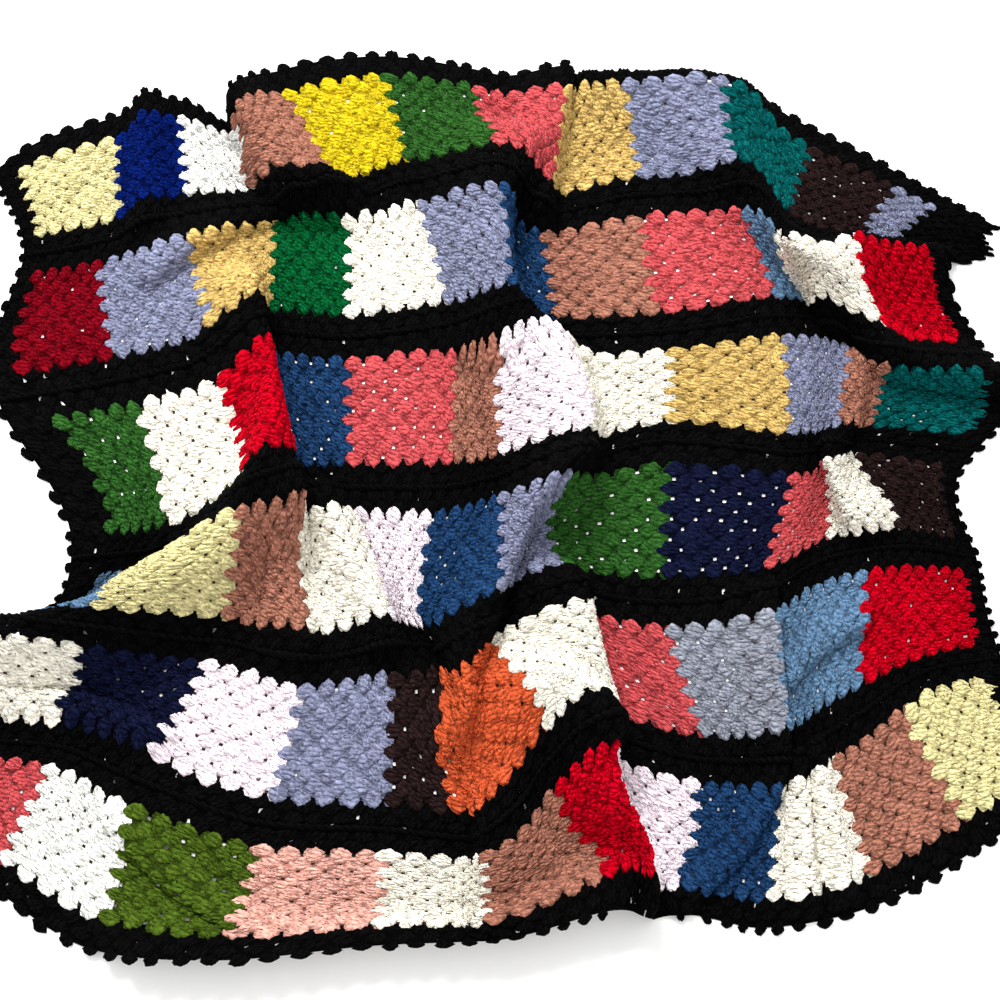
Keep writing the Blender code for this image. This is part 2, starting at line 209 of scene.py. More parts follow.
# Where the blocks of each strip end, in blocks of ten rows from its left end.
STRIP_ENDS = (
    (0, 1, 2, 3, 4, 5, 6, 7, 8, 8.9, 10, 11, 11.5, 12),
    (0, 0.9, 2, 3, 4, 5, 6, 7, 7.9, 9, 9.5, 10.8, 12),
    (0, 0.2, 1.1, 2, 3, 4, 5.1, 6, 7, 8, 9, 10.1, 10.9, 12),
    (0, 0.4, 1, 2, 3, 4, 4.9, 6, 7, 8, 9, 10, 11, 12),
    (0, 0.9, 2, 3, 4, 4.6, 6, 7.2, 8, 9, 10.5, 12),
    (0, 1, 2, 3, 4, 5, 6, 7, 7.9, 9, 10, 11, 12),
)

# A cluster of three posts: spacing of the posts at the base and at the top, length, and how far its base
# reaches back under the row before it.
POST_BASE = 0.0028
POST_TOP = 0.0051
POST_LENGTH = 0.0140
OVERLAP = 0.0055
# The share of its length by which a cluster's outer corners fall short, so that its top is an arc.
TIP_ROUND = 0.40
# A cluster at the end of a row: how far its outer side swells into a tooth, and how much higher it lies.
TOOTH = 0.0034
TOOTH_LIFT = 0.0009
# The clusters of a block's first row are longer and slimmer, by these shares, and reach into the block
# before.
FIRST_ROW = (1.22, 0.88)

# How unlike the clusters are, as the spread of a normal draw: places and corners in metres, turns in
# radians, and lengths, widths, heights and shades as shares.
PLACE_SPREAD = 0.0004
SLUB = 0.00036
TURN_SPREAD = 0.12
LENGTH_SPREAD = 0.07
WIDTH_SPREAD = 0.06
HEIGHT_SPREAD = 0.15
SHADE_SPREAD = 0.16
# Painted shade on the stitches: the height over the cloth at or above which a strand gets none, the power
# by which lower ones are painted darker, and how far apart the clusters' places on the yarn's pattern may
# be.
PALEST_HEIGHT = 0.0020
SHADE_POWER = 0.6
PATTERN_REACH = 0.05

# Black rows: how far apart they start, how far the first reaches back into a strip, and the shares of a
# coloured cluster's length and width that a black one and a picot of the outer edge have.
EDGING_ROW = 0.0100
EDGING_START = 0.0052
BLACK_CLUSTER = (0.94, 1.08)
PICOT = (0.86, 0.80)
# A picot is left out where a stretch of the edge keeps less than this share of its width.
PICOT_STRETCH = 0.008
PICOT_SHARE = 0.55

# The seam cord: length of a stitch, radius, how much it swells, how tall it is for its width, how far each
# swelling slants round it, and the share of the border that it crosses.
CORD_STITCH = 0.0065
CORD_RADIUS = 0.0029
CORD_SWELL = 0.20
CORD_HEIGHT = 1.35
CORD_SLANT = 1.6
CORD_REACH = 0.6

# The ground: its height over the cloth, the level of its painted depth shade, which is darker than any
# post's, how far it keeps from the outer edge, and how far past the start of a row its yarn changes colour.
GROUND_LIFT = 0.0008
GROUND_DEPTH_SHADE = -0.35
GROUND_EDGE = 0.0095
GROUND_SHIFT = 0.0045
# Its holes: size across and along a strip, place of the first row's, and the slack in telling their cells.
HOLE_ACROSS = 0.0026
HOLE_ALONG = 0.0025
HOLE_START = 0.0056
HOLE_SLACK = 0.0002
# How far black ground reaches into a strip between two teeth, in half clusters, beside a row of five
# clusters and beside a row of six.
NOTCH_OF_FIVE = 0.95
NOTCH_OF_SIX = 0.3
# Lines of its grid across each side of the border and across a band.
BORDER_LINES = 6
BAND_LINES = 9

# The seed of all the random draws.
SEED = 20


# ---------------------------------------------------------------- laying the cloth
def smooth_line(knots, values, places):
    """Read a smooth line at some places: a cubic between each two knots, straight past the first and last.

    Its slope at a knot is the mean of the rises on both sides, each weighted by the other side's gap. It is
    held to three times the smaller rise, or halved where the line turns back.
    """
    knots = np.asarray(knots, float)
    values = np.asarray(values, float).reshape(len(knots), -1)
    gaps = np.diff(knots)[:, None]
    rises = np.diff(values, axis=0) / gaps
    slopes = np.concatenate([rises[:1], rises[-1:]])
    if len(knots) > 2:
        middle = (gaps[1:] * rises[:-1] + gaps[:-1] * rises[1:]) / (gaps[1:] + gaps[:-1])
        limit = 3 * np.minimum(abs(rises[:-1]), abs(rises[1:]))
        same_way = rises[:-1] * rises[1:] > 0
        middle = np.where(same_way, np.clip(middle, -limit, limit), middle / 2)
        slopes = np.concatenate([rises[:1], middle, rises[-1:]])
    span = np.clip(np.searchsorted(knots, places, side="right") - 1, 0, len(knots) - 2)
    line = np.arange(len(places)) if values.shape[1] > 1 else 0
    width = np.diff(knots)[span]
    t = (places - knots[span]) / width
    start = values[span, line]
    end = values[span + 1, line]
    start_slope = slopes[span, line] * width
    end_slope = slopes[span + 1, line] * width
    inside = start * (2 * t**3 - 3 * t**2 + 1) + end * (3 * t**2 - 2 * t**3)
    inside += start_slope * (t**3 - 2 * t**2 + t) + end_slope * (t**3 - t**2)
    before = start + start_slope * t
    after = end + end_slope * (t - 1)
    return np.where(t < 0, before, np.where(t > 1, after, inside))


def flat_places(counts, stations):
    """Turn counts of blocks or strips into flat places, going on evenly past the first and last."""
    counts = np.asarray(counts, float)
    last = len(stations) - 1
    places = np.interp(counts, np.arange(last + 1), stations)
    places += np.minimum(counts, 0) * (stations[1] - stations[0])
    return places + np.maximum(counts - last, 0) * (stations[-1] - stations[-2])


def fold_profile(fold, u, v):
    """How much of a fold's height each place has, from 0 to 1, and which way its steep side faces.

    Half a cosine wave falls from 1 at the crest to 0 at the foot of each side, and another past each end.
    """
    faces, crest, gentle, steep = fold[1:5]
    sign = -1 if faces in ("left", "far") else 1
    crest_u = flat_places([place[0] for place in crest], BLOCK_ENDS)
    crest_v = flat_places([place[1] for place in crest], SEAMS)
    sideways = faces in ("left", "right")
    knots, crest_line = (crest_v, crest_u) if sideways else (crest_u, crest_v)
    along, across = (v, u) if sideways else (u, v)
    order = np.argsort(knots)
    knots = knots[order]
    crest_line = crest_line[order]
    crest_here = smooth_line(knots, crest_line, along)
    slant = smooth_line(knots, crest_line, along + SLANT_STEP)
    slant = (slant - smooth_line(knots, crest_line, along - SLANT_STEP)) / (2 * SLANT_STEP)
    size = np.sqrt(1 + slant**2)
    past_crest = sign * (across - crest_here) / size * 1000
    past_end = np.maximum(knots[0] - along, along - knots[-1]) * 1000
    end_share = np.clip(past_end / (FADE * max(gentle, steep)), 0, 1)
    side_share = np.clip(np.where(past_crest < 0, -past_crest / gentle, past_crest / steep), 0, 1)
    profile = (1 + np.cos(np.pi * end_share)) * (1 + np.cos(np.pi * side_share)) / 4
    across_part = sign / size
    along_part = -sign * slant / size
    facing = (across_part, along_part) if sideways else (along_part, across_part)
    return profile, facing


def lay(u, v):
    """Lay flat places u along and v across the blanket, and return their x, y and z.

    The seams' smooth lines give x and y. Each push adds its shift times two half cosine waves, and each
    fold adds its height and its lean times its profile.
    """
    right = np.stack([smooth_line(BLOCK_ENDS, row, u) for row in SEAM_RIGHT])
    beyond = np.stack([smooth_line(BLOCK_ENDS, row, u) for row in SEAM_BEYOND])
    x = smooth_line(SEAMS, right, v)
    y = smooth_line(SEAMS, beyond, v)
    z = np.zeros_like(x)
    for push in PUSHES:
        place, along, across, push_right, push_beyond = push[1:]
        past_u = abs(u - flat_places([place[0]], BLOCK_ENDS)) * 1000 / along
        past_v = abs(v - flat_places([place[1]], SEAMS)) * 1000 / across
        share = 1 + np.cos(np.pi * np.minimum(past_u, 1))
        share = share * (1 + np.cos(np.pi * np.minimum(past_v, 1))) / 4
        x += push_right * share
        y += push_beyond * share
    for fold in FOLDS:
        profile, (facing_u, facing_v) = fold_profile(fold, u, v)
        height, lean = fold[-2:]
        x += lean * profile * facing_u
        y -= lean * profile * facing_v
        z += height * profile
    return np.stack([x - MIDDLE[0], y - MIDDLE[1], z], axis=1) / 1000


def grid_normals(places):
    """The direction out of the upper face at each crossing of a grid: the mean over the cells round it."""
    first = places[1:, 1:] - places[:-1, :-1]
    second = places[:-1, 1:] - places[1:, :-1]
    of_cells = np.cross(first, second)
    totals = np.zeros_like(places)
    for rows in (slice(None, -1), slice(1, None)):
        for columns in (slice(None, -1), slice(1, None)):
            totals[rows, columns] += of_cells
    return totals / np.linalg.norm(totals, axis=2, keepdims=True)


# The laid cloth, worked out once on a fine grid over the flat blanket and a margin for the picots, and the
# least height of any stitch over the floor.
GRID_STEP = 0.003
MARGIN = 0.009
OVER_FLOOR = 0.0002
GRID_U = np.arange(-BORDER - MARGIN, LENGTH + BORDER + MARGIN + GRID_STEP, GRID_STEP)
GRID_V = np.arange(-BORDER - MARGIN, WIDTH + BORDER + MARGIN + GRID_STEP, GRID_STEP)
grid_u, grid_v = np.meshgrid(GRID_U, GRID_V)
LAID = lay(grid_u.ravel(), grid_v.ravel()).reshape(*grid_u.shape, 3)
LAID_UP = grid_normals(LAID)


def drape(u, v, w):
    """Put flat places u, v at height w over the cloth where it is laid, and never into the floor.

    The place and the upward direction are blended evenly from the four fine crossings around each one.
    """
    column = np.clip((u - GRID_U[0]) / GRID_STEP, 0, len(GRID_U) - 1.001)
    row = np.clip((v - GRID_V[0]) / GRID_STEP, 0, len(GRID_V) - 1.001)
    i = column.astype(int)
    j = row.astype(int)
    a = (column - i)[:, None]
    b = (row - j)[:, None]

    def blend(grid):
        far = grid[j, i] * (1 - a) + grid[j, i + 1] * a
        near = grid[j + 1, i] * (1 - a) + grid[j + 1, i + 1] * a
        return far * (1 - b) + near * b

    up = blend(LAID_UP)
    up /= np.linalg.norm(up, axis=1, keepdims=True)
    places = blend(LAID) + up * np.asarray(w)[:, None]
    places[:, 2] = np.maximum(places[:, 2], OVER_FLOOR)
    return places


# ---------------------------------------------------------------- materials
def dye(colour):
    """The linear colour of a yarn whose red, green and blue are from 0 to 255, by the sRGB curve."""
    parts = np.array(colour) / 255
    return tuple(np.where(parts <= 0.04045, parts / 12.92, ((parts + 0.055) / 1.055) ** 2.4)) + (1,)


def add_node(tree, kind, inputs=(), **settings):
    """A new node of a kind in a material's tree, with the values of its inputs and its settings."""
    node = tree.nodes.new("ShaderNode" + kind)
    for name, value in settings.items():
        setattr(node, name, value)
    for name, value in dict(inputs).items():
        node.inputs[name].default_value = value
    return node


def add_shade(tree, source, start, end, start_shade, end_shade):
    """A shade that goes evenly from one value to another while its source goes from start to end."""
    limits = {"From Min": start, "From Max": end, "To Min": start_shade, "To Max": end_shade}
    node = add_node(tree, "MapRange", limits)
    tree.links.new(source, node.inputs["Value"])
    return node.outputs["Result"]


def add_bump(tree, height, strength, distance, under=None, sunk=False):
    """A bump for a height, laid over the normal of the bump under it. Where it is sunk, high means deep."""
    node = add_node(tree, "Bump", {"Strength": strength, "Distance": distance}, invert=sunk)
    tree.links.new(height, node.inputs["Height"])
    if under is not None:
        tree.links.new(under, node.inputs["Normal"])
    return node.outputs["Normal"]


def make_yarn(name, colour):
    """Soft spun yarn: its colour is its dye times four shades, and three bumps lie over one another.

    The shades are painted shade that darkens a strand the deeper it lies, faint streaks of tone, painted
    shade in the crevices between rounded knobs, and painted shade in the grooves of plies that slant round
    the strands. The bumps are the knobs, the plies and loose fuzz. The paler a yarn, the paler its painted
    shades.
    """
    lightness = sum(colour) / (3 * 255)
    material = bpy.data.materials.new(name + "_yarn")
    material.use_nodes = True
    material.diffuse_color = dye(colour)
    tree = material.node_tree
    links = tree.links
    shader = tree.nodes["Principled BSDF"]
    shader.inputs["Roughness"].default_value = 0.92
    shader.inputs["Specular IOR Level"].default_value = 0.03
    shader.inputs["Sheen Weight"].default_value = 0.02 if lightness > 0.5 else 0.0
    shader.inputs["Sheen Roughness"].default_value = 0.6

    places = add_node(tree, "TexCoord").outputs["Object"]
    strands = add_node(tree, "UVMap", uv_map="strands").outputs["UV"]
    height = add_node(tree, "Attribute", attribute_name="painted_depth_shade").outputs["Fac"]
    streaks = add_node(tree, "TexNoise", {"Scale": 60, "Detail": 4})
    links.new(places, streaks.inputs["Vector"])
    knobs = add_node(tree, "TexVoronoi", {"Scale": 340, "Randomness": 0.75}, voronoi_dimensions="2D")
    links.new(strands, knobs.inputs["Vector"])
    slant = add_node(tree, "Mapping", {"Rotation": (0, 0, math.radians(28))})
    links.new(strands, slant.inputs["Vector"])
    plies = add_node(tree, "TexWave", {"Scale": 92, "Distortion": 5, "Detail Scale": 2})
    plies.wave_type = "BANDS"
    plies.bands_direction = "X"
    links.new(slant.outputs["Vector"], plies.inputs["Vector"])
    fuzz = add_node(tree, "TexNoise", {"Scale": 1400, "Detail": 3})
    links.new(places, fuzz.inputs["Vector"])

    knob = knobs.outputs["Distance"]
    ply = plies.outputs["Fac"]
    # Painted shade in the knobs' crevices and the plies' grooves; the streaks are random tone.
    shades = (
        add_shade(tree, streaks.outputs["Fac"], 0.3, 0.7, 0.88, 1.08),
        add_shade(tree, knob, 0.25, 0.70, 1.06, 0.72 + 0.24 * lightness),
        add_shade(tree, ply, 0, 1, 0.62 + 0.28 * lightness, 1.16),
    )
    # Painted depth shade: the colour darkens with the attribute set from each corner's height, darkest on
    # the ground.
    shade = add_shade(tree, height, GROUND_DEPTH_SHADE, 1, 0.28 + 0.48 * lightness, 1)
    for more in shades:
        product = add_node(tree, "Math", operation="MULTIPLY")
        links.new(shade, product.inputs[0])
        links.new(more, product.inputs[1])
        shade = product.outputs["Value"]
    tint = add_node(tree, "Mix", {"Factor": 1}, data_type="RGBA", blend_type="MULTIPLY")
    tint.inputs["A"].default_value = dye(colour)
    links.new(shade, tint.inputs["B"])
    links.new(tint.outputs["Result"], shader.inputs["Base Color"])

    rounded = add_bump(tree, knob, 1.0, 0.0010, sunk=True)
    twisted = add_bump(tree, ply, 1.0, 0.0012, rounded)
    links.new(add_bump(tree, fuzz.outputs["Fac"], 0.5, 0.0005, twisted), shader.inputs["Normal"])
    return material


def make_floor_paint():
    """Smooth white board with the faintest mottling."""
    material = bpy.data.materials.new("white_board")
    material.use_nodes = True
    tree = material.node_tree
    links = tree.links
    shader = tree.nodes["Principled BSDF"]
    shader.inputs["Roughness"].default_value = 0.8
    shader.inputs["Specular IOR Level"].default_value = 0.1
    places = add_node(tree, "TexCoord")
    mottling = add_node(tree, "TexNoise", {"Scale": 6})
    links.new(places.outputs["Object"], mottling.inputs["Vector"])
    ramp = add_node(tree, "ValToRGB")
    ramp.color_ramp.elements[0].color = (0.90, 0.90, 0.895, 1)
    ramp.color_ramp.elements[1].color = (0.92, 0.92, 0.915, 1)
    links.new(mottling.outputs["Fac"], ramp.inputs["Fac"])
    links.new(ramp.outputs["Color"], shader.inputs["Base Color"])
    return material


YARN_NAMES = [name for name, colour in YARNS]
YARN_MATERIALS = [make_yarn(name, colour) for name, colour in YARNS]


# ---------------------------------------------------------------- meshes
def make_piece(name, places, faces, flat_uv, painted_depth_shade, yarns):
    """A mesh piece from its corners, four-cornered faces, flat places, painted depth shades and faces'
    yarns.
    """
    mesh = bpy.data.meshes.new(name)
    mesh.from_pydata(places.tolist(), [], faces.tolist())
    used = np.unique(yarns)
    for number in used:
        mesh.materials.append(YARN_MATERIALS[number])
    slot_of = np.zeros(len(YARNS), int)
    slot_of[used] = np.arange(len(used))
    mesh.polygons.foreach_set("material_index", slot_of[yarns])
    mesh.polygons.foreach_set("use_smooth", np.ones(len(faces), bool))
    layer = mesh.uv_layers.new(name="strands")
    layer.data.foreach_set("uv", flat_uv[faces.ravel()].ravel().astype(np.float32))
    attribute = mesh.attributes.new("painted_depth_shade", "FLOAT", "POINT")
    attribute.data.foreach_set("value", painted_depth_shade.astype(np.float32))
    mesh.update()
    piece = bpy.data.objects.new(name, mesh)
    bpy.context.scene.collection.objects.link(piece)
    return piece


def grid_faces(rows, columns):
    """Four-cornered faces of a grid of corners, turned so that they face up on the laid cloth."""
    j, i = np.meshgrid(np.arange(rows - 1), np.arange(columns - 1), indexing="ij")
    first = (j * columns + i).ravel()
    return np.stack([first, first + columns, first + columns + 1, first + 1], axis=1)


# Columns of a cluster's grid, as places across its three posts, and its rows: share of the length, height
# of the posts there and height of the chain over their tops, in millimetres. A black cluster's is plainer.
SIDE = 1.5
FINE_ACROSS = (-SIDE, -1.28, -1, -0.72, -0.5, -0.28, 0, 0.28, 0.5, 0.72, 1, 1.28, SIDE)
FINE_ALONG = (
    # along, post, chain
    (0.00, 0.3, 0.0),
    (0.26, 1.5, 0.0),
    (0.54, 1.8, 0.1),
    (0.70, 1.4, 0.3),
    (0.86, 0.9, 1.2),
    (1.00, 0.0, -0.3),
)
PLAIN_ACROSS = (-SIDE, -1, -0.5, 0, 0.5, 1, SIDE)
PLAIN_ALONG = FINE_ALONG[:3] + FINE_ALONG[4:]
# The cluster's shape: the power of its widening, the least height between posts as a share of theirs, how
# far out that holds, how wide its outer slope is and how deep its outline is tucked in. The tuck is in
# millimetres, and the two lengths before it are in spaces between posts.
WIDENING = 0.8
BETWEEN_POSTS = 0.35
BETWEEN_TO = 1.25
SLOPE = 0.3
TUCK = 0.3


def fan_template(across_places, along_rows):
    """A cluster of three posts as a grid: s runs across it and t from its base to its top.

    Posts stand at s of -1, 0 and 1. The width grows with a power of t, and the top is an arc. Each post is
    a half round, not quite as low between two posts as at the sides, and a chain crosses the tops as a
    second round. The outline is tucked in a little.
    """
    t, post_height, chain_height = np.array(along_rows).T
    t_grid, s_grid = np.meshgrid(t, np.array(across_places), indexing="ij")
    from_post = 2 * (s_grid - np.round(np.clip(s_grid, -1, 1)))
    half_round = np.sqrt(np.maximum(1 - from_post**2, 0))
    filled = BETWEEN_POSTS + (1 - BETWEEN_POSTS) * half_round
    half_round = np.where(abs(s_grid) < BETWEEN_TO, filled, half_round)
    across = s_grid * (POST_BASE + (POST_TOP - POST_BASE) * t_grid**WIDENING)
    along = POST_LENGTH * t_grid * (1 - TIP_ROUND * t_grid * (s_grid / SIDE) ** 2)
    edge = np.clip((SIDE - abs(s_grid)) / SLOPE, 0, 1)
    height = post_height[:, None] * half_round + chain_height[:, None] * (0.5 + 0.5 * half_round) * edge
    height = np.where(edge == 0, -TUCK, height) / 1000
    return along.ravel(), across.ravel(), height.ravel(), t_grid.ravel(), s_grid.ravel(), t_grid.shape


def fans(base_u, base_v, growth, size, yarns, numbers, lift=0.0, pull=None, fine=True):
    """Many clusters at once: the template turned to its growth direction and carried to each base.

    The size is a share of the length and of the width. A pull of 1 or -1 swells that side of a cluster
    into a rounded tooth, by a half sine wave along it. Every corner is then moved a little, as slubby yarn
    makes no two clusters alike. The pattern of each cluster's yarn starts at its own place. How pale its
    painted depth shade leaves a strand grows with a power of its height over the cloth, less a draw for its
    cluster.
    """
    template = fan_template(FINE_ACROSS, FINE_ALONG) if fine else fan_template(PLAIN_ACROSS, PLAIN_ALONG)
    along, across, height, t, s, shape = template
    count = len(base_u)
    turn = numbers.normal(0, TURN_SPREAD, count)[:, None]
    length = size[0] * numbers.normal(1, LENGTH_SPREAD, (count, 1))
    spread = size[1] * numbers.normal(1, WIDTH_SPREAD, (count, 1))
    tall = numbers.normal(1, HEIGHT_SPREAD, count)[:, None]
    slubs = numbers.normal(0, SLUB, (3, count, len(along)))
    out = along[None] * length
    side = across[None] * spread
    if pull is not None:
        outer = np.maximum(pull[:, None] * s[None] / SIDE, 0)
        side = side + pull[:, None] * TOOTH * outer**2 * np.sin(np.pi * np.clip(t, 0, 1))
    turned = out * np.cos(turn) - side * np.sin(turn)
    side = out * np.sin(turn) + side * np.cos(turn)
    g_u, g_v = growth
    u = base_u[:, None] + turned * g_u - side * g_v + slubs[0]
    v = base_v[:, None] + turned * g_v + side * g_u + slubs[1]
    raised = np.reshape(lift, (-1, 1)) + slubs[2]
    w = GROUND_LIFT + height[None] * tall + np.where(height > 0, 1, 0) * raised
    places = drape(u.ravel(), v.ravel(), w.ravel())
    faces = grid_faces(*shape)
    per_fan = len(along)
    all_faces = (faces[None] + per_fan * np.arange(count)[:, None, None]).reshape(-1, 4)
    offset = numbers.random((count, 1, 2)) * PATTERN_REACH
    uv = (np.stack([across, along], axis=1)[None] + offset).reshape(-1, 2)
    # Painted shade: each corner is coloured darker the lower it lies over the cloth.
    darker = abs(numbers.normal(0, SHADE_SPREAD, count))[:, None]
    painted_depth_shade = np.clip((height[None] + slubs[2]) / PALEST_HEIGHT - darker, 0, 1).ravel() ** SHADE_POWER
    face_yarns = np.repeat(yarns, len(faces))
    return places, all_faces, uv, painted_depth_shade, face_yarns


def join(parts):
    """One set of corners and faces out of several."""
    starts = np.cumsum([0] + [len(part[0]) for part in parts])
    faces = np.concatenate([part[1] + start for part, start in zip(parts, starts)])
    rest = [np.concatenate([part[n] for part in parts]) for n in (0, 2, 3, 4)]
    return rest[0], faces, rest[1], rest[2], rest[3]


def block_of_rows(strip):
    """The number of the block that each row of a strip is in, from left to right."""
    middles = (np.arange(ROWS) + 0.5) / ROWS_PER_BLOCK
    return np.searchsorted(STRIP_ENDS[strip], middles) - 1


def yarn_of_rows(strip):
    """The number of the yarn of each row of a strip, from left to right."""
    names = STRIP_YARNS[strip].split()
    return np.array([YARN_NAMES.index(name) for name in names])[block_of_rows(strip)]


def strip_fans(strip):
    """The clusters of one strip. Even rows hold six and odd rows five, set half a cluster over."""
    numbers = np.random.default_rng(SEED + strip)
    even_rows, even_places = np.meshgrid(np.arange(0, ROWS, 2), np.arange(CLUSTERS_PER_ROW) + 0.5)
    odd_rows, odd_places = np.meshgrid(np.arange(1, ROWS, 2), np.arange(1, CLUSTERS_PER_ROW))
    row = np.concatenate([even_rows.ravel(), odd_rows.ravel()])
    place = np.concatenate([even_places.ravel(), odd_places.ravel()])
    base_u = (row + 1) * ROW + OVERLAP + numbers.normal(0, PLACE_SPREAD, len(row))
    base_v = strip * PITCH + place * CLUSTER + numbers.normal(0, PLACE_SPREAD, len(row))
    from_middle = place - CLUSTERS_PER_ROW / 2
    at_edge = abs(from_middle) > CLUSTERS_PER_ROW / 2 - 1
    pull = np.where(at_edge, -np.sign(from_middle), 0)
    yarns = yarn_of_rows(strip)[row]
    starts = np.diff(block_of_rows(strip), prepend=-1)[row][:, None] > 0
    size = [np.where(starts, share, 1) for share in FIRST_ROW]
    return fans(base_u, base_v, (-1, 0), size, yarns, numbers, TOOTH_LIFT * at_edge, pull)


def lies_open(u, v):
    """Whether the laid edge keeps enough of its width at each place, seen from above, to show a picot."""
    level = np.zeros(len(u))
    half = PICOT_STRETCH / 2
    across = drape(u + half, v, level) - drape(u - half, v, level)
    return np.linalg.norm(across[:, :2], axis=1) > PICOT_SHARE * PICOT_STRETCH


def edging_fans(edge_v, outward, rows, numbers):
    """Rows of black clusters worked outwards from a strip's long edge, one cluster for two of its rows.

    Each row is set half a cluster over. A row past the second is one of picots: slim clusters that stand
    apart as knobs, and are left out where the edge is gathered.
    """
    parts = []
    for n in range(rows):
        base_u = (2 * np.arange(ROWS // 2) + 1.5 + (n % 2)) * ROW
        base_v = np.full(len(base_u), edge_v + outward * (n * EDGING_ROW - EDGING_START))
        if n > 1:
            shown = lies_open(base_u, base_v)
            base_u = base_u[shown]
            base_v = base_v[shown]
        black = np.zeros(len(base_u), int)
        size = PICOT if n > 1 else BLACK_CLUSTER
        parts.append(fans(base_u, base_v, (0, outward), size, black, numbers, fine=False))
    return join(parts)


def end_fans(edge_u, outward, rows, numbers):
    """Rows of black clusters worked outwards from the left or right end of the whole blanket.

    Each row is set half a cluster over, and a row past the second is one of picots.
    """
    parts = []
    places = np.arange(int((WIDTH + 2 * BORDER) / CLUSTER))
    for n in range(rows):
        base_v = -BORDER + (places + 0.75 + 0.5 * (n % 2)) * CLUSTER
        base_u = np.full(len(places), edge_u + outward * (n * EDGING_ROW - EDGING_START))
        black = np.zeros(len(places), int)
        size = PICOT if n > 1 else BLACK_CLUSTER
        parts.append(fans(base_u, base_v, (outward, 0), size, black, numbers, fine=False))
    return join(parts)


def seam_cord(seam_v):
    """The raised seam along a band: a half round carried along it, swelling once a stitch in a cosine wave.

    The wave slants round the cord, as twisted yarn does, and the narrow parts between swellings get painted
    shade.
    """
    reach = CORD_REACH * BORDER
    u = np.arange(-reach, LENGTH + reach, CORD_STITCH / 4)
    angle = np.linspace(0, math.pi, 8)
    u_grid, angle_grid = np.meshgrid(u, angle, indexing="ij")
    twist = np.cos(2 * math.pi * u_grid / CORD_STITCH + CORD_SLANT * angle_grid)
    radius = CORD_RADIUS * (1 + CORD_SWELL * twist)
    v = seam_v + radius * np.cos(angle_grid)
    w = GROUND_LIFT + CORD_HEIGHT * radius * np.sin(angle_grid)
    places = drape(u_grid.ravel(), v.ravel(), w.ravel())
    faces = grid_faces(*u_grid.shape)
    uv = np.stack([v.ravel(), u_grid.ravel()], axis=1)
    # Painted shade: the narrow parts of the cord are coloured darker.
    painted_depth_shade = (0.5 + 0.5 * twist).ravel()
    return places, faces, uv, painted_depth_shade, np.zeros(len(faces), int)


def paired_lines(start, pitch, count, first):
    """Lines that divide each pitch into two cells, the first of a given width."""
    starts = start + pitch * np.arange(count)
    return np.stack([starts, starts + first], axis=1).ravel()


def ground_lines():
    """The lines of the ground's grid along and across the blanket, set by its rows and half clusters."""
    u_lines = [np.linspace(-BORDER + GROUND_EDGE, 0, BORDER_LINES)[:-1]]
    u_lines.append(paired_lines(HOLE_START, ROW, ROWS, HOLE_ALONG))
    u_lines.append(np.linspace(LENGTH, LENGTH + BORDER - GROUND_EDGE, BORDER_LINES))
    v_lines = [np.linspace(-BORDER + GROUND_EDGE, 0, BORDER_LINES)[:-1]]
    half = CLUSTER / 2
    for strip in range(STRIPS):
        start = strip * PITCH
        first = start + HOLE_ACROSS / 2
        v_lines.append(paired_lines(first, half, 2 * CLUSTERS_PER_ROW, half - HOLE_ACROSS))
        if strip < STRIPS - 1:
            v_lines.append(np.linspace(start + STRIP, start + PITCH, BAND_LINES)[:-1] + HOLE_ACROSS / 2)
    v_lines.append(np.linspace(WIDTH, WIDTH + BORDER - GROUND_EDGE, BORDER_LINES))
    return np.concatenate(u_lines), np.unique(np.concatenate(v_lines).round(6))


